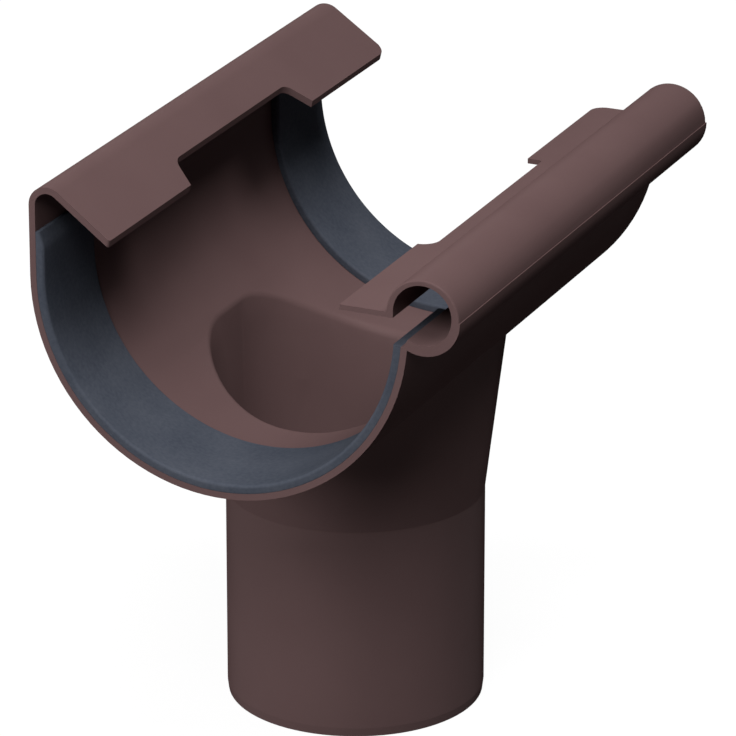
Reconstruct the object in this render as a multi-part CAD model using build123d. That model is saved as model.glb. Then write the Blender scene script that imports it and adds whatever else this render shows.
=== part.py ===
from build123d import *
import os
from math import atan2, cos, degrees, radians, sin

# Gutter outlet for a 125 mm half-round gutter and a 90 mm downpipe, in millimetres.
# The trough runs along Y, its round bead is on the +X side and its folded lip on the -X side.
# The origin is the centre of the spout's lower rim. Sections are drawn about the trough's axis.

# Trough and its rubber seals
gutter_radius = 62.5          # outside of the gutter that lies in the seals
seal_thickness = 2.9
seal_width = 37.0
seal_back_height = 15.3       # top of a seal on the back wall, above the trough's axis
seal_top_thickness = 1.3      # a seal's upper end thins towards the back wall
seal_taper_height = 5.0
wall = 2.25
trough_length = 218.2
axis_height = 179.5           # trough's axis above the spout's lower rim

# Lip folded over from the back wall
lip_height = 31.3             # top of the fold above the trough's axis
lip_fold_radius = 6.8         # outside of the fold
lip_slope = 37.0              # degrees that the lip falls towards the trough
lip_length = 24.1             # straight part, down to the tips of the tabs
lip_notch_depth = 10.4        # up the slope, from the tabs' tips to the notch's root
lip_notch_mouth = 97.0        # length of the notch between the tabs' tips
lip_notch_root = 87.0
lip_notch_fillet = 5.5
lip_corner_left = 1.0
lip_corner_right = 4.0
lip_overhang_right = 1.8      # the lip's tip reaches this far past the trough's +Y end

# Round bead along the front wall, and its flange
bead_gap = 5.15               # bead's centre beyond the trough's outside
bead_rise = 6.6               # bead's centre above the trough's axis
bead_radius = 13.0
bead_step = 0.3               # the bead's upper half lies this much inside its lower half
bead_end_rounding = 0.6       # soft edge of the upper half at the trough's ends
bead_bore_shift = -0.1        # the bead's channel lies a little off its outside's centre
bead_bore_rise = 0.7
bead_bore_radius = 10.2
bead_start = 238.0            # degrees about the bead's centre, where it leaves the front wall
bead_end = 540.0              # degrees, where it turns into the flange
flange_thickness = 1.8
flange_rise = 0.3             # top of the flange above the bead's centre
flange_reach = 29.0           # from the bead's centre to the tabs' tips
flange_notch_depth = 5.5
flange_notch_length = 94.0
flange_notch_fillet_left = 6.0
flange_notch_fillet_right = 1.5
flange_corner_right = 5.0

# Spout and flared funnel
spout_radius = 45.0
spout_wall = 2.3
spout_height = 76.3
spout_lead_height = 3.2       # tapered lead-in at the lower rim
spout_lead_depth = 0.4
funnel_flank_angle = 48.7     # degrees from straight down, where the funnel's flanks leave the trough
funnel_half_length = 53.9     # at the level where they leave, along the trough
funnel_end_flat = 4.0         # half of the straight part between its rounded corners, across the trough
funnel_flat_angle = 2.0       # degrees of the spout's circle each side of a funnel flat
outlet_fillet = 3.6           # soft edge where the trough falls into the funnel


def trough_outer_radius():
    """Outside radius of the half-round trough."""
    return gutter_radius + seal_thickness + wall


def trough_inner_radius():
    """Inside radius of the trough, where the seals are bonded."""
    return gutter_radius + seal_thickness


def at_angle(center, radius, angle):
    """Point at an angle in degrees on a circle of the XZ section."""
    return (center[0] + radius * cos(radians(angle)), center[1] + radius * sin(radians(angle)))


def bead_center():
    """Centre of the bead's outside in the XZ section."""
    return (trough_outer_radius() + bead_gap, bead_rise)


def bore_center():
    """Centre of the bead's channel in the XZ section."""
    x, z = bead_center()
    return (x + bead_bore_shift, z + bead_bore_rise)


def front_angle():
    """Angle about the trough's axis at which the front wall meets the start of the bead."""
    x, z = at_angle(bead_center(), bead_radius, bead_start)
    return degrees(atan2(z, x))


def along_trough(section, length):
    """Extrude an XZ section along Y, half of the length each way."""
    return extrude(Plane.XZ * section, length / 2, both=True)


def band(center, outer_radius, inner_radius, start, end):
    """Sector of a ring between two angles, as a face of the XZ section."""
    with BuildSketch() as sketch:
        with BuildLine():
            outer = CenterArc(center, outer_radius, start, end - start)
            inner = CenterArc(center, inner_radius, start, end - start)
            Line(outer @ 0, inner @ 0)
            Line(outer @ 1, inner @ 1)
        make_face()
    return sketch.sketch


def back_line(inset):
    """Corner points of the back wall, fold and lip, at an inset from the outside."""
    radius = trough_outer_radius()
    fold = (-radius + lip_fold_radius, lip_height - lip_fold_radius)
    foot = (-radius + inset, 0)
    fold_low = at_angle(fold, lip_fold_radius - inset, 180)
    fold_mid = at_angle(fold, lip_fold_radius - inset, 135 - lip_slope / 2)
    fold_high = at_angle(fold, lip_fold_radius - inset, 90 - lip_slope)
    tip = at_angle(fold_high, lip_length, -lip_slope)
    return foot, fold_low, fold_mid, fold_high, tip


def shell_section():
    """Half-round wall with the back wall and folded lip, one wall thick."""
    half_round = band((0, 0), trough_outer_radius(), trough_inner_radius(), 180, 360 + front_angle())
    with BuildSketch() as back:
        with BuildLine():
            tips = []
            for inset in (0, wall):
                foot, fold_low, fold_mid, fold_high, tip = back_line(inset)
                Line(foot, fold_low)
                ThreePointArc(fold_low, fold_mid, fold_high)
                Line(fold_high, tip)
                tips.append((foot, tip))
            Line(tips[0][0], tips[1][0])
            Line(tips[0][1], tips[1][1])
        make_face()
    return half_round + back.sketch


def bead_ring():
    """Open round bead with a rounded edge at both ends of its upper half."""
    core = bead_bore_radius / 2
    low = along_trough(band(bead_center(), bead_radius, core, bead_start, 360), trough_length)
    high = along_trough(band(bead_center(), bead_radius - bead_step, core, 360, bead_end), trough_length)
    ends = high.edges().filter_by(GeomType.CIRCLE).filter_by(lambda e: e.radius > core + bead_step)
    high = fillet(ends, bead_end_rounding)
    x, z = bore_center()
    bore = Pos(x, 0, z) * Rotation(90, 0, 0) * Cylinder(bead_bore_radius, trough_length)
    return low + high - bore


def flange_tip_x():
    """Tip of the flange's tabs, from the trough's axis."""
    return bead_center()[0] - flange_reach


def flange_section():
    """Level flange that runs in from the bead's upper end, as a face of the XZ section."""
    tip_x = flange_tip_x()
    root_x = bore_center()[0] - bead_bore_radius
    top_z = bead_rise + flange_rise
    middle = ((tip_x + root_x) / 2, top_z - flange_thickness / 2)
    return Pos(*middle) * Rectangle(root_x - tip_x, flange_thickness)


def notch(tip_x, root_x, mouth, root, left_fillet, right_fillet):
    """Outline of a notch between two tabs' tips, as a face of the XY plane."""
    outline = Polyline((tip_x, -mouth / 2), (root_x, -root / 2), (root_x, root / 2), (tip_x, mouth / 2), close=True)
    plan = make_face(outline)
    left, right = plan.vertices().filter_by(lambda v: abs(v.X - root_x) < 1e-6).sort_by(Axis.Y)
    plan = fillet(left, left_fillet)
    right = plan.vertices().filter_by(lambda v: abs(v.X - root_x) < 1e-6).sort_by(Axis.Y)[-1]
    return fillet(right, right_fillet)


def lip_plane():
    """Plane on the lip's outside: its origin is at the tabs' tips and its X runs down the slope."""
    x, z = back_line(0)[-1]
    level, upright = cos(radians(lip_slope)), sin(radians(lip_slope))
    return Plane(origin=(x, 0, z), x_dir=(level, 0, -upright), z_dir=(upright, 0, level))


def round_corner(body, x, y, radius):
    """Round the corner of a tab: its upright edge at the trough's end y, near x."""
    edges = body.edges().filter_by(lambda e: all(abs(v.Y - y) < 1e-6 and abs(v.X - x) < wall for v in e.vertices()))
    corner = edges.filter_by(lambda e: e.length < 1.5 * wall)
    return fillet(corner, radius)


def lip_overhang():
    """Wedge by which the lip's end slants past the trough's +Y end, towards its tip."""
    end = trough_length / 2
    corners = ((-lip_length, end - wall), (-lip_length, end), (0, end + lip_overhang_right), (0, end - wall))
    return extrude(lip_plane() * make_face(Polyline(*corners, close=True)), -wall)


def cut_lip(body):
    """Notch the middle of the lip and round the corners of its tabs."""
    flare = (lip_notch_mouth - lip_notch_root) / lip_notch_depth
    past = wall
    mouth = lip_notch_mouth + past * flare
    outline = notch(past, -lip_notch_depth, mouth, lip_notch_root, lip_notch_fillet, lip_notch_fillet)
    notched = body - extrude(lip_plane() * outline, 2 * wall, both=True)
    tip = lip_plane().origin.X
    rounded = round_corner(notched, tip, -trough_length / 2, lip_corner_left)
    return round_corner(rounded, tip, trough_length / 2 + lip_overhang_right, lip_corner_right)


def cut_flange(body):
    """Narrow the middle of the bead's flange, which leaves a tab at each end."""
    tip = flange_tip_x()
    root = tip + flange_notch_depth
    length = flange_notch_length
    plan = notch(tip - wall, root, length, length, flange_notch_fillet_left, flange_notch_fillet_right)
    top = bead_rise + flange_rise
    notched = body - Pos(0, 0, top - 1.5 * flange_thickness) * extrude(plan, 2 * flange_thickness)
    return round_corner(notched, tip, trough_length / 2, flange_corner_right)


def rounded_section(half_width, half_length, corner):
    """Wire of a rounded rectangle that starts at the middle of its +X flat's lower end."""
    x, y = half_width, half_length
    a, b = x - corner, y - corner
    quarter = cos(radians(45)) * corner
    edges = []
    for sx, sy in ((1, 1), (-1, 1), (-1, -1), (1, -1)):
        side = (sx * x, sy * b)
        end = (sx * a, sy * y)
        middle = (sx * (a + quarter), sy * (b + quarter))
        if sx * sy > 0:
            edges.append(Line((sx * x, -sy * b), side))
            edges.append(ThreePointArc(side, middle, end))
        else:
            edges.append(Line((-sx * a, sy * y), end))
            edges.append(ThreePointArc(end, middle, side))
    return make_face(edges)


def round_section(radius):
    """Circle in as many edges as the rounded section: short arcs that face its flats."""
    edges = []
    for quadrant in range(4):
        start = 90 * quadrant - funnel_flat_angle
        edges.append(CenterArc((0, 0), radius, start, 2 * funnel_flat_angle))
        edges.append(CenterArc((0, 0), radius, start + 2 * funnel_flat_angle, 90 - 2 * funnel_flat_angle))
    return make_face(edges)


def funnel_flank():
    """Half width and level of the funnel's top section, a third of the way into the trough's wall."""
    return at_angle((0, 0), trough_inner_radius() + wall / 3, funnel_flank_angle - 90)


def funnel(inset):
    """Straight flare from the round spout to the rounded section, at an inset from the outside."""
    half_width, level = funnel_flank()
    corner = half_width - funnel_end_flat
    top = rounded_section(half_width - inset, funnel_half_length - inset, corner - inset)
    low = round_section(spout_radius - inset)
    return loft([Pos(0, 0, spout_height - axis_height) * low, Pos(0, 0, level) * top], ruled=True)


def pipe(radius, length):
    """Upright cylinder that stands on the spout's lower rim."""
    return Pos(0, 0, -axis_height) * Cylinder(radius, length, align=(Align.CENTER, Align.CENTER, Align.MIN))


def spout():
    """Straight spout with a tapered lead-in, open through."""
    outside = pipe(spout_radius, spout_height)
    rim = outside.edges().group_by(Axis.Z)[0]
    outside = chamfer(rim, spout_lead_height, spout_lead_depth)
    return outside


def soften_outlet(body):
    """Round the edge where the trough falls into the funnel."""
    def on_outlet(edge):
        points = [edge @ share for share in (0, 0.5, 1)]
        on_wall = all(abs(Vector(p.X, 0, p.Z).length - trough_inner_radius()) < 1e-3 for p in points)
        return on_wall and all(abs(p.Y) < funnel_half_length for p in points) and points[1].Z < -gutter_radius / 2
    return fillet(body.edges().filter_by(on_outlet), outlet_fillet)


def body():
    """The moulded fitting: trough, lip, bead, funnel and spout in one piece."""
    trough = along_trough(shell_section(), trough_length) + lip_overhang()
    trough = cut_lip(trough)
    bead = bead_ring() + cut_flange(along_trough(flange_section(), trough_length))
    inside = Rotation(90, 0, 0) * Cylinder(trough_inner_radius(), trough_length)
    outlet = (spout() + funnel(0)) - inside
    whole = trough + bead + outlet
    bored = whole - funnel(spout_wall) - pipe(spout_radius - spout_wall, spout_height)
    return soften_outlet(bored)


def seal(side):
    """Rubber band bonded round the inside of one end of the trough; side is -1 or 1 along Y."""
    outer = trough_inner_radius()
    curved = band((0, 0), outer, gutter_radius, 180, 360 + front_angle())
    shoulder = (-outer + seal_thickness, seal_back_height - seal_taper_height)
    top = (-outer + seal_top_thickness, seal_back_height)
    upright = make_face(Polyline((-outer, 0), (-gutter_radius, 0), shoulder, top, (-outer, seal_back_height), close=True))
    strip = along_trough(curved + upright, seal_width)
    return Pos(0, side * (trough_length - seal_width) / 2, 0) * strip


nodes = {
    "body": body(),
    "seal_left": seal(-1),
    "seal_right": seal(1),
}

os.makedirs("parts", exist_ok=True)
for name, shape in nodes.items():
    export_step(Pos(0, 0, axis_height) * shape, f"parts/{name}.step")
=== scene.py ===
from math import cos, radians, sin

import bmesh
import bpy
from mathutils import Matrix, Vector


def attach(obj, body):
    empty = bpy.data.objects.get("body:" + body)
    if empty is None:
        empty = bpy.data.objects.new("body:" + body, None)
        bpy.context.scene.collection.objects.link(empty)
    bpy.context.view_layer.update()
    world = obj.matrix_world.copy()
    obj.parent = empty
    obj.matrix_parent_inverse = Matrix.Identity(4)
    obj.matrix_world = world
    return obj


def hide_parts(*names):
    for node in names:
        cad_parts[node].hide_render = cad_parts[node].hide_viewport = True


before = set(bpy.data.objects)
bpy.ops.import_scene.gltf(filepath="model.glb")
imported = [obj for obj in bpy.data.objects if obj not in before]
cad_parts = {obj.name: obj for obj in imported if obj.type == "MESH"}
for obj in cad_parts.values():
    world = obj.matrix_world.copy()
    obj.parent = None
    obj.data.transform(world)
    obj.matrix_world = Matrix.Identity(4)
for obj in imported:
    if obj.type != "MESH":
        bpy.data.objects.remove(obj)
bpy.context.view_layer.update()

# Sizes in metres, in the row frame: the trough along Y, the bead on +X, +Z up
AXIS_HEIGHT = 0.1795
TROUGH_LENGTH = 0.2182
GUTTER_RADIUS = 0.0625
SPOUT_HEIGHT = 0.0763
SPOUT_LEAD_HEIGHT = 0.0032
SPOUT_BLEND = 0.0006
LIP_SLOPE = radians(37.0)
LIP_BOTTOM = AXIS_HEIGHT + 0.010
SEAL_THICKNESS = 0.0029
SEAL_WIDTH = 0.037
SEAL_BACK_HEIGHT = 0.0153
SEAL_TAPER_HEIGHT = 0.005
SEAL_TOP_THICKNESS = 0.0013
SEAL_FRONT_ANGLE = radians(-3.84)
WALL_RADIUS = GUTTER_RADIUS + SEAL_THICKNESS

# The top of the lip's free edge is cut back this far, from the notch's root outwards
LIP_CUT_BACK = 0.0010
LIP_CUT_FROM = -0.047

# Soft edges: of the moulding nearly everywhere, of the lip's free edge, and of the seals
MOULD_EDGE = 0.00035
LIP_EDGE = 0.0008
SEAL_EDGE = 0.0011
SEAL_WALL_EDGE = 0.0002
SEAL_STEPS = 140

# The angle between two faces from which their edge is rounded, or keeps its shading break
ROUNDED_FROM = radians(50)
MOULD_SHARP_FROM = radians(28)
SEAL_SHARP_FROM = radians(40)

# Finishes: the darkest and lightest tone, the lowest and highest roughness, polish and height of the grain
BROWN_TONES = ((0.105, 0.063, 0.063, 1), (0.128, 0.079, 0.078, 1))
BROWN_ROUGHNESS = (0.36, 0.50)
BROWN_POLISH = 0.04
SPOUT_POLISH = 0.12
BROWN_BUMP = 0.05
RUBBER_TONES = ((0.044, 0.051, 0.068, 1), (0.072, 0.079, 0.098, 1))
RUBBER_ROUGHNESS = (0.50, 0.68)
RUBBER_POLISH = 0.03
RUBBER_BUMP = 0.15
COAT_ROUGHNESS = 0.34
GRAIN_DEPTH = 0.0001

# The photograph's camera: its place, its turn from +Y towards -X, and its tilt below level
CAMERA_PLACE = (0.7312, -1.6137, 0.8086)
CAMERA_TURN = radians(24.2363)
CAMERA_TILT = radians(21.2741)
CAMERA_LENS = 270.3
CAMERA_SENSOR = 36.0

# Studio: all lamps stand this far from the object's middle, and each has a name, turn, lift, size and power
WHITE = (1, 1, 1, 1)
FLOOR_GREY = (0.08, 0.08, 0.08, 1)
FLOOR_GLOW = 0.95
FLOOR_REACH = 12.0
SURROUNDINGS_LEVEL = 0.03
LAMP_DISTANCE = 2.1
LAMP_TARGET = Vector((0, 0, 0.12))
LAMPS = [
    ("top_bead_side", 100, 68, 0.9, 21.0),
    ("top_front", 20, 70, 0.9, 17.0),
    ("front_high", 12, 43, 0.8, 21.0),
    ("front_low", -15, 18, 0.6, 12.0),
    ("lip_side_low", -60, 12, 0.6, 13.0),
    ("back_fill", 215, 15, 0.8, 7.0),
]


def new_group(name, inputs, outputs):
    """Shader node group with named inputs (name, type, value) and outputs (name, type)."""
    group = bpy.data.node_groups.new(name, "ShaderNodeTree")
    for label, kind, value in inputs:
        socket = group.interface.new_socket(name=label, in_out="INPUT", socket_type=kind)
        socket.default_value = value
    for label, kind in outputs:
        group.interface.new_socket(name=label, in_out="OUTPUT", socket_type=kind)
    start = group.nodes.new("NodeGroupInput")
    end = group.nodes.new("NodeGroupOutput")
    return group, start, end


def maths(tree, operation, *values):
    """Math node of a shader or geometry tree, with sockets or numbers as its inputs."""
    node = tree.nodes.new("ShaderNodeMath")
    node.operation = operation
    for socket, value in zip(node.inputs, values):
        if isinstance(value, bpy.types.NodeSocket):
            tree.links.new(value, socket)
        else:
            socket.default_value = value
    return node.outputs["Value"]


def build_moulded_grain():
    """Uneven tone, roughness and height that every moulded surface of the fitting shares."""
    group, start, end = new_group(
        "moulded_grain",
        [("Cloud Size", "NodeSocketFloat", 30.0), ("Grain Size", "NodeSocketFloat", 900.0),
         ("Flow Stretch", "NodeSocketFloat", 0.25), ("Scuff Amount", "NodeSocketFloat", 0.3),
         ("Speckle", "NodeSocketFloat", 0.2)],
        [("Tone", "NodeSocketFloat"), ("Roughness", "NodeSocketFloat"), ("Height", "NodeSocketFloat")],
    )
    nodes, links = group.nodes, group.links
    place = nodes.new("ShaderNodeTexCoord")
    flow = nodes.new("ShaderNodeMapping")
    links.new(place.outputs["Object"], flow.inputs["Vector"])
    stretch = nodes.new("ShaderNodeCombineXYZ")
    stretch.inputs["X"].default_value = 1.0
    stretch.inputs["Z"].default_value = 1.0
    links.new(start.outputs["Flow Stretch"], stretch.inputs["Y"])
    links.new(stretch.outputs["Vector"], flow.inputs["Scale"])

    cloud = nodes.new("ShaderNodeTexNoise")
    cloud.inputs["Detail"].default_value = 3.0
    cloud.inputs["Roughness"].default_value = 0.45
    links.new(place.outputs["Object"], cloud.inputs["Vector"])
    links.new(start.outputs["Cloud Size"], cloud.inputs["Scale"])

    streak = nodes.new("ShaderNodeTexNoise")
    streak.inputs["Detail"].default_value = 5.0
    streak.inputs["Roughness"].default_value = 0.6
    streak.inputs["Scale"].default_value = 160.0
    links.new(flow.outputs["Vector"], streak.inputs["Vector"])

    grain = nodes.new("ShaderNodeTexNoise")
    grain.inputs["Detail"].default_value = 2.0
    grain.inputs["Roughness"].default_value = 0.5
    links.new(place.outputs["Object"], grain.inputs["Vector"])
    links.new(start.outputs["Grain Size"], grain.inputs["Scale"])

    scuff = nodes.new("ShaderNodeMapRange")
    scuff.inputs["From Min"].default_value = 0.62
    scuff.inputs["From Max"].default_value = 0.74
    links.new(streak.outputs["Fac"], scuff.inputs["Value"])
    scuffed = maths(group, "MULTIPLY", scuff.outputs["Result"], start.outputs["Scuff Amount"])

    speckle = maths(group, "SUBTRACT", grain.outputs["Fac"], 0.5)
    speckled = maths(group, "MULTIPLY", speckle, start.outputs["Speckle"])
    tone = maths(group, "ADD", cloud.outputs["Fac"], speckled)
    links.new(tone, end.inputs["Tone"])
    rough = maths(group, "ADD", cloud.outputs["Fac"], scuffed)
    links.new(rough, end.inputs["Roughness"])
    links.new(grain.outputs["Fac"], end.inputs["Height"])
    return group


def mix_colour(material, factor, dark, light):
    """Mix node between two colours, steered by a socket."""
    node = material.node_tree.nodes.new("ShaderNodeMix")
    node.data_type = "RGBA"
    node.inputs["A"].default_value = dark
    node.inputs["B"].default_value = light
    material.node_tree.links.new(factor, node.inputs["Factor"])
    return node.outputs["Result"]


def moulded_finish(name, grain, tones, roughness, polish, bump, settings):
    """Satin moulded material: cloudy tone, uneven roughness and fine grain from the shared group."""
    material = bpy.data.materials.new(name)
    material.use_nodes = True
    nodes, links = material.node_tree.nodes, material.node_tree.links
    shader = nodes["Principled BSDF"]
    surface = nodes.new("ShaderNodeGroup")
    surface.node_tree = grain
    for label, value in settings.items():
        surface.inputs[label].default_value = value
    links.new(mix_colour(material, surface.outputs["Tone"], *tones), shader.inputs["Base Color"])
    rough = nodes.new("ShaderNodeMapRange")
    rough.inputs["From Min"].default_value = 0.3
    rough.inputs["From Max"].default_value = 1.0
    rough.inputs["To Min"].default_value = roughness[0]
    rough.inputs["To Max"].default_value = roughness[1]
    links.new(surface.outputs["Roughness"], rough.inputs["Value"])
    links.new(rough.outputs["Result"], shader.inputs["Roughness"])
    height = nodes.new("ShaderNodeBump")
    height.inputs["Strength"].default_value = bump
    height.inputs["Distance"].default_value = GRAIN_DEPTH
    links.new(surface.outputs["Height"], height.inputs["Height"])
    links.new(height.outputs["Normal"], shader.inputs["Normal"])

    # All gloss is the mould's polish, which shows where the surface faces the eye and fades at its edges
    shader.inputs["Specular IOR Level"].default_value = 0.0
    facing = nodes.new("ShaderNodeLayerWeight")
    facing.inputs["Blend"].default_value = 0.5
    fade = nodes.new("ShaderNodeMapRange")
    fade.inputs["From Min"].default_value = 0.30
    fade.inputs["From Max"].default_value = 0.85
    fade.inputs["To Min"].default_value = polish
    fade.inputs["To Max"].default_value = 0.0
    fade.name = "polish"
    links.new(facing.outputs["Facing"], fade.inputs["Value"])
    links.new(fade.outputs["Result"], shader.inputs["Coat Weight"])
    shader.inputs["Coat Roughness"].default_value = COAT_ROUGHNESS
    return material


def polish_spout(material, elsewhere, on_spout):
    """Give the spout below the funnel a stronger polish than the rest, blended at its top."""
    nodes, links = material.node_tree.nodes, material.node_tree.links
    place = nodes.new("ShaderNodeTexCoord")
    parts = nodes.new("ShaderNodeSeparateXYZ")
    links.new(place.outputs["Object"], parts.inputs["Vector"])
    height = nodes.new("ShaderNodeMapRange")
    height.inputs["From Min"].default_value = SPOUT_HEIGHT - SPOUT_BLEND
    height.inputs["From Max"].default_value = SPOUT_HEIGHT
    height.inputs["To Min"].default_value = on_spout
    height.inputs["To Max"].default_value = elsewhere
    links.new(parts.outputs["Z"], height.inputs["Value"])
    links.new(height.outputs["Result"], nodes["polish"].inputs["To Min"])


def joined_copy(node, name):
    """Copy of a CAD node's mesh with its loose triangles joined."""
    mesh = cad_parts[node].data.copy()
    mesh.name = name
    joined = bmesh.new()
    joined.from_mesh(mesh)
    bmesh.ops.remove_doubles(joined, verts=joined.verts, dist=1e-6)
    bmesh.ops.dissolve_degenerate(joined, dist=1e-7, edges=joined.edges)
    joined.to_mesh(mesh)
    joined.free()
    for attribute in [a.name for a in mesh.attributes if a.name == "custom_normal"]:
        mesh.attributes.remove(mesh.attributes[attribute])
    piece = bpy.data.objects.new(name, mesh)
    bpy.context.scene.collection.objects.link(piece)
    return piece


def crease_rings(mesh):
    """Keep the shading break where the spout meets the funnel and its tapered lead-in."""
    for edge in mesh.edges:
        ends = [mesh.vertices[v].co.z for v in edge.vertices]
        for level in (SPOUT_HEIGHT, SPOUT_LEAD_HEIGHT):
            if all(abs(z - level) < 1e-5 for z in ends):
                edge.use_edge_sharp = True


def cut_lip_upright(mesh):
    """Bring the top of the lip's free edge back, so that its cut stands nearly upright."""
    downhill = Vector((cos(LIP_SLOPE), 0, -sin(LIP_SLOPE)))
    upper_side = Vector((sin(LIP_SLOPE), 0, cos(LIP_SLOPE)))
    shell = bmesh.new()
    shell.from_mesh(mesh)
    shell.normal_update()
    cut = []
    for point in shell.verts:
        if not (LIP_CUT_FROM < point.co.x < 0 and point.co.z > LIP_BOTTOM):
            continue
        # A point on top of the cut touches the lip's upper side and a side that looks downhill
        sides = [face.normal for face in point.link_faces]
        on_top = max(side.dot(upper_side) for side in sides) > 0.999
        on_cut = any(abs(side.dot(upper_side)) < 0.1 and side.dot(downhill) > 0.03 for side in sides)
        if on_top and on_cut:
            cut.append(point)
    for point in cut:
        point.co -= downhill * LIP_CUT_BACK
    shell.to_mesh(mesh)
    shell.free()


def weigh_edges(mesh):
    """Give sharp edges their share of the widest rounding, which the lip's free edge gets in full."""
    shell = bmesh.new()
    shell.from_mesh(mesh)
    weight = shell.edges.layers.float.new("bevel_weight_edge")
    for edge in shell.edges:
        if len(edge.link_faces) != 2 or edge.calc_face_angle() < ROUNDED_FROM:
            continue
        middle = (edge.verts[0].co + edge.verts[1].co) / 2
        at_lip = middle.x < 0 and middle.z > LIP_BOTTOM
        inside = abs(middle.y) < TROUGH_LENGTH / 2 - LIP_EDGE
        edge[weight] = 1.0 if at_lip and inside else MOULD_EDGE / LIP_EDGE
    shell.to_mesh(mesh)
    shell.free()


def moulded_body(plastic):
    """The brown fitting with the soft edges that a mould leaves."""
    piece = joined_copy("body", "outlet_moulding")
    mesh = piece.data
    mesh.materials.clear()
    mesh.materials.append(plastic)
    cut_lip_upright(mesh)
    mesh.shade_smooth()
    mesh.set_sharp_from_angle(angle=MOULD_SHARP_FROM)
    crease_rings(mesh)
    weigh_edges(mesh)
    soft = piece.modifiers.new("mould_edges", "BEVEL")
    soft.width = LIP_EDGE
    soft.segments = 3
    soft.limit_method = "WEIGHT"
    soft.use_clamp_overlap = True
    soft.harden_normals = True
    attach(piece, "root")
    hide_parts("body")


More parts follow.
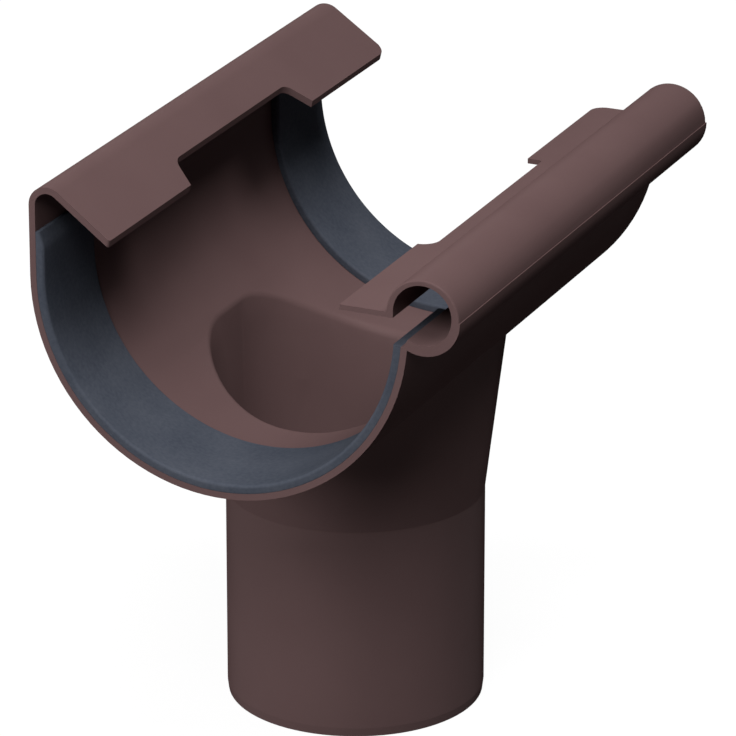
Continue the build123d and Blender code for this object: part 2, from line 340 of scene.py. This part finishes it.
def build_seal_tree():
    """Geometry tree of a seal: a rounded band swept down the back wall and round under the gutter."""
    tree = bpy.data.node_groups.new("seal_band", "GeometryNodeTree")
    names = ["Wall Radius", "Thickness", "Width", "Back Height", "Taper Height", "Top Thickness",
             "Front Angle", "Edge Rounding", "Wall Side Rounding", "Middle Y", "Axis Height"]
    tree.interface.new_socket(name="Geometry", in_out="INPUT", socket_type="NodeSocketGeometry")
    for name in names:
        tree.interface.new_socket(name=name, in_out="INPUT", socket_type="NodeSocketFloat")
    tree.interface.new_socket(name="Steps", in_out="INPUT", socket_type="NodeSocketInt")
    tree.interface.new_socket(name="Rubber", in_out="INPUT", socket_type="NodeSocketMaterial")
    tree.interface.new_socket(name="Geometry", in_out="OUTPUT", socket_type="NodeSocketGeometry")
    nodes, links = tree.nodes, tree.links
    given = nodes.new("NodeGroupInput").outputs
    end = nodes.new("NodeGroupOutput")

    # The path runs through the middle of the rubber's thickness
    half = maths(tree, "DIVIDE", given["Thickness"], 2.0)
    middle_radius = maths(tree, "SUBTRACT", given["Wall Radius"], half)
    arc_angle = maths(tree, "ADD", given["Front Angle"], radians(180))
    arc_length = maths(tree, "MULTIPLY", arc_angle, middle_radius)
    whole = maths(tree, "ADD", arc_length, given["Back Height"])
    line = nodes.new("GeometryNodeCurvePrimitiveLine")
    steps = nodes.new("GeometryNodeResampleCurve")
    links.new(line.outputs["Curve"], steps.inputs["Curve"])
    links.new(given["Steps"], steps.inputs["Count"])
    share = nodes.new("GeometryNodeSplineParameter")
    run = maths(tree, "MULTIPLY", share.outputs["Factor"], whole)
    down = maths(tree, "MINIMUM", run, given["Back Height"])
    round_run = maths(tree, "MAXIMUM", maths(tree, "SUBTRACT", run, given["Back Height"]), 0.0)
    turn = maths(tree, "DIVIDE", round_run, middle_radius)
    x = maths(tree, "MULTIPLY", maths(tree, "COSINE", turn), maths(tree, "MULTIPLY", middle_radius, -1.0))
    drop = maths(tree, "MULTIPLY", maths(tree, "SINE", turn), middle_radius)
    rise = maths(tree, "SUBTRACT", given["Back Height"], down)
    z = maths(tree, "ADD", maths(tree, "SUBTRACT", rise, drop), given["Axis Height"])
    point = nodes.new("ShaderNodeCombineXYZ")
    links.new(x, point.inputs["X"])
    links.new(given["Middle Y"], point.inputs["Y"])
    links.new(z, point.inputs["Z"])
    placed = nodes.new("GeometryNodeSetPosition")
    links.new(steps.outputs["Curve"], placed.inputs["Geometry"])
    links.new(point.outputs["Vector"], placed.inputs["Position"])

    # The band's section has soft corners towards the gutter and finer ones against the wall
    section = nodes.new("GeometryNodeCurvePrimitiveQuadrilateral")
    corner = nodes.new("GeometryNodeInputPosition")
    corner_parts = nodes.new("ShaderNodeSeparateXYZ")
    links.new(corner.outputs["Position"], corner_parts.inputs["Vector"])
    soft_side = maths(tree, "GREATER_THAN", corner_parts.outputs["X"], 0.0)
    wall_side = maths(tree, "SUBTRACT", 1.0, soft_side)
    soft_rounding = maths(tree, "MULTIPLY", soft_side, given["Edge Rounding"])
    wall_rounding = maths(tree, "MULTIPLY", wall_side, given["Wall Side Rounding"])
    rounding = maths(tree, "ADD", soft_rounding, wall_rounding)
    links.new(given["Thickness"], section.inputs["Width"])
    links.new(given["Width"], section.inputs["Height"])
    corners = nodes.new("GeometryNodeFilletCurve")
    corners.mode = "POLY"
    corners.inputs["Count"].default_value = 6
    links.new(section.outputs["Curve"], corners.inputs["Curve"])
    links.new(rounding, corners.inputs["Radius"])
    swept = nodes.new("GeometryNodeCurveToMesh")
    swept.inputs["Fill Caps"].default_value = True
    links.new(placed.outputs["Geometry"], swept.inputs["Curve"])
    links.new(corners.outputs["Curve"], swept.inputs["Profile Curve"])

    # The upper end thins towards the back wall
    position = nodes.new("GeometryNodeInputPosition")
    parts = nodes.new("ShaderNodeSeparateXYZ")
    links.new(position.outputs["Position"], parts.inputs["Vector"])
    above = maths(tree, "SUBTRACT", parts.outputs["Z"], given["Axis Height"])
    start = maths(tree, "SUBTRACT", given["Back Height"], given["Taper Height"])
    thinning = nodes.new("ShaderNodeMapRange")
    links.new(above, thinning.inputs["Value"])
    links.new(start, thinning.inputs["From Min"])
    links.new(given["Back Height"], thinning.inputs["From Max"])
    thinning.inputs["To Min"].default_value = 1.0
    top_share = maths(tree, "DIVIDE", given["Top Thickness"], given["Thickness"])
    links.new(top_share, thinning.inputs["To Max"])
    from_wall = maths(tree, "ADD", parts.outputs["X"], given["Wall Radius"])
    kept = maths(tree, "MULTIPLY", from_wall, thinning.outputs["Result"])
    thinned = maths(tree, "SUBTRACT", kept, given["Wall Radius"])
    moved = nodes.new("ShaderNodeCombineXYZ")
    links.new(thinned, moved.inputs["X"])
    links.new(parts.outputs["Y"], moved.inputs["Y"])
    links.new(parts.outputs["Z"], moved.inputs["Z"])
    shaped = nodes.new("GeometryNodeSetPosition")
    links.new(swept.outputs["Mesh"], shaped.inputs["Geometry"])
    links.new(moved.outputs["Vector"], shaped.inputs["Position"])

    real = nodes.new("GeometryNodeRealizeInstances")
    links.new(shaped.outputs["Geometry"], real.inputs["Geometry"])
    rubber = nodes.new("GeometryNodeSetMaterial")
    links.new(real.outputs["Geometry"], rubber.inputs["Geometry"])
    links.new(given["Rubber"], rubber.inputs["Material"])
    links.new(rubber.outputs["Geometry"], end.inputs["Geometry"])
    return tree


def grown_mesh(name, tree, settings):
    """Plain mesh that a geometry tree makes with these settings."""
    seed = bpy.data.objects.new(name + "_seed", bpy.data.meshes.new(name + "_seed"))
    bpy.context.scene.collection.objects.link(seed)
    growth = seed.modifiers.new("growth", "NODES")
    growth.node_group = tree
    for item in tree.interface.items_tree:
        if item.in_out == "INPUT" and item.name in settings:
            growth[item.identifier] = settings[item.name]
    grown = seed.evaluated_get(bpy.context.evaluated_depsgraph_get())
    mesh = bpy.data.meshes.new_from_object(grown)
    mesh.name = name
    bpy.data.objects.remove(seed)
    return mesh


def face_outwards(mesh):
    """Join a mesh's doubles and turn its faces outwards."""
    shell = bmesh.new()
    shell.from_mesh(mesh)
    bmesh.ops.remove_doubles(shell, verts=shell.verts, dist=1e-6)
    bmesh.ops.recalc_face_normals(shell, faces=shell.faces)
    shell.to_mesh(mesh)
    shell.free()


def rubber_seal(side, tree, rubber):
    """Seal at one end of the trough; side is -1 or 1 along Y."""
    name = "left" if side < 0 else "right"
    settings = {
        "Wall Radius": WALL_RADIUS,
        "Thickness": SEAL_THICKNESS,
        "Width": SEAL_WIDTH,
        "Back Height": SEAL_BACK_HEIGHT,
        "Taper Height": SEAL_TAPER_HEIGHT,
        "Top Thickness": SEAL_TOP_THICKNESS,
        "Front Angle": SEAL_FRONT_ANGLE,
        "Edge Rounding": SEAL_EDGE,
        "Wall Side Rounding": SEAL_WALL_EDGE,
        "Middle Y": side * (TROUGH_LENGTH - SEAL_WIDTH) / 2,
        "Axis Height": AXIS_HEIGHT,
        "Steps": SEAL_STEPS,
        "Rubber": rubber,
    }
    mesh = grown_mesh(f"rubber_band_{name}", tree, settings)
    face_outwards(mesh)
    mesh.shade_smooth()
    mesh.set_sharp_from_angle(angle=SEAL_SHARP_FROM)
    piece = bpy.data.objects.new(f"rubber_band_{name}", mesh)
    bpy.context.scene.collection.objects.link(piece)
    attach(piece, "root")
    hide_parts(f"seal_{name}")


def photo_camera():
    """Camera at the photograph's place and angle."""
    data = bpy.data.cameras.new("photo_camera")
    data.lens = CAMERA_LENS
    data.sensor_width = CAMERA_SENSOR
    data.clip_start = 0.1
    data.clip_end = 50.0
    camera = bpy.data.objects.new("photo_camera", data)
    camera.location = CAMERA_PLACE
    camera.rotation_euler = (radians(90) - CAMERA_TILT, 0, CAMERA_TURN)
    bpy.context.scene.collection.objects.link(camera)
    bpy.context.scene.camera = camera


def softbox(name, turn, lift, size, power):
    """Square studio lamp; turn is in degrees from -Y towards +X and lift is above the floor."""
    data = bpy.data.lights.new(name, "AREA")
    data.shape = "SQUARE"
    data.size = size
    data.energy = power
    lamp = bpy.data.objects.new(name, data)
    turn, lift = radians(turn), radians(lift)
    towards = Vector((cos(lift) * sin(turn), -cos(lift) * cos(turn), sin(lift)))
    lamp.location = LAMP_TARGET + LAMP_DISTANCE * towards
    lamp.rotation_euler = (-towards).to_track_quat("-Z", "Y").to_euler()
    bpy.context.scene.collection.objects.link(lamp)


def seen_straight(tree):
    """Mask that is 1 for rays from the camera, from gloss and through glass."""
    path = tree.nodes.new("ShaderNodeLightPath")
    seen = maths(tree, "MAXIMUM", path.outputs["Is Camera Ray"], path.outputs["Is Glossy Ray"])
    return maths(tree, "MAXIMUM", seen, path.outputs["Is Transmission Ray"])


def white_surroundings(level):
    """World that lights the object at a level and looks white."""
    world = bpy.data.worlds.new("studio")
    bpy.context.scene.world = world
    world.use_nodes = True
    nodes, links = world.node_tree.nodes, world.node_tree.links
    light = nodes["Background"]
    light.inputs["Color"].default_value = WHITE
    light.inputs["Strength"].default_value = level
    white = nodes.new("ShaderNodeBackground")
    white.inputs["Color"].default_value = WHITE
    white.inputs["Strength"].default_value = 1.0
    mix = nodes.new("ShaderNodeMixShader")
    links.new(seen_straight(world.node_tree), mix.inputs["Fac"])
    links.new(light.outputs["Background"], mix.inputs[1])
    links.new(white.outputs["Background"], mix.inputs[2])
    links.new(mix.outputs["Shader"], nodes["World Output"].inputs["Surface"])


def pale_floor():
    """Plain pale floor that keeps the object's shadow."""
    mesh = bpy.data.meshes.new("studio_floor")
    corners = [(x * FLOOR_REACH, y * FLOOR_REACH, 0) for x, y in ((-1, -1), (1, -1), (1, 1), (-1, 1))]
    mesh.from_pydata(corners, [], [(0, 1, 2, 3)])
    floor = bpy.data.objects.new("studio_floor", mesh)
    bpy.context.scene.collection.objects.link(floor)
    material = bpy.data.materials.new("studio_floor")
    material.use_nodes = True
    nodes, links = material.node_tree.nodes, material.node_tree.links
    nodes.remove(nodes["Principled BSDF"])
    pale = nodes.new("ShaderNodeBsdfDiffuse")
    pale.inputs["Color"].default_value = FLOOR_GREY
    glow = nodes.new("ShaderNodeEmission")
    glow.inputs["Color"].default_value = WHITE
    glow.inputs["Strength"].default_value = FLOOR_GLOW
    both = nodes.new("ShaderNodeAddShader")
    links.new(pale.outputs["BSDF"], both.inputs[0])
    links.new(glow.outputs["Emission"], both.inputs[1])
    mix = nodes.new("ShaderNodeMixShader")
    links.new(seen_straight(material.node_tree), mix.inputs["Fac"])
    links.new(pale.outputs["BSDF"], mix.inputs[1])
    links.new(both.outputs["Shader"], mix.inputs[2])
    links.new(mix.outputs["Shader"], nodes["Material Output"].inputs["Surface"])
    mesh.materials.append(material)


grain = build_moulded_grain()
brown_plastic = moulded_finish(
    "brown_plastic", grain, BROWN_TONES, BROWN_ROUGHNESS, BROWN_POLISH, BROWN_BUMP,
    {"Cloud Size": 28.0, "Grain Size": 1500.0, "Flow Stretch": 0.22, "Scuff Amount": 0.25, "Speckle": 0.3},
)
seal_rubber = moulded_finish(
    "seal_rubber", grain, RUBBER_TONES, RUBBER_ROUGHNESS, RUBBER_POLISH, RUBBER_BUMP,
    {"Cloud Size": 60.0, "Grain Size": 800.0, "Flow Stretch": 0.5, "Scuff Amount": 0.35, "Speckle": 1.0},
)

polish_spout(brown_plastic, BROWN_POLISH, SPOUT_POLISH)
moulded_body(brown_plastic)
seal_tree = build_seal_tree()
rubber_seal(-1, seal_tree, seal_rubber)
rubber_seal(1, seal_tree, seal_rubber)

bpy.context.scene.view_settings.view_transform = "Standard"
photo_camera()
white_surroundings(SURROUNDINGS_LEVEL)
pale_floor()
for lamp in LAMPS:
    softbox(*lamp)
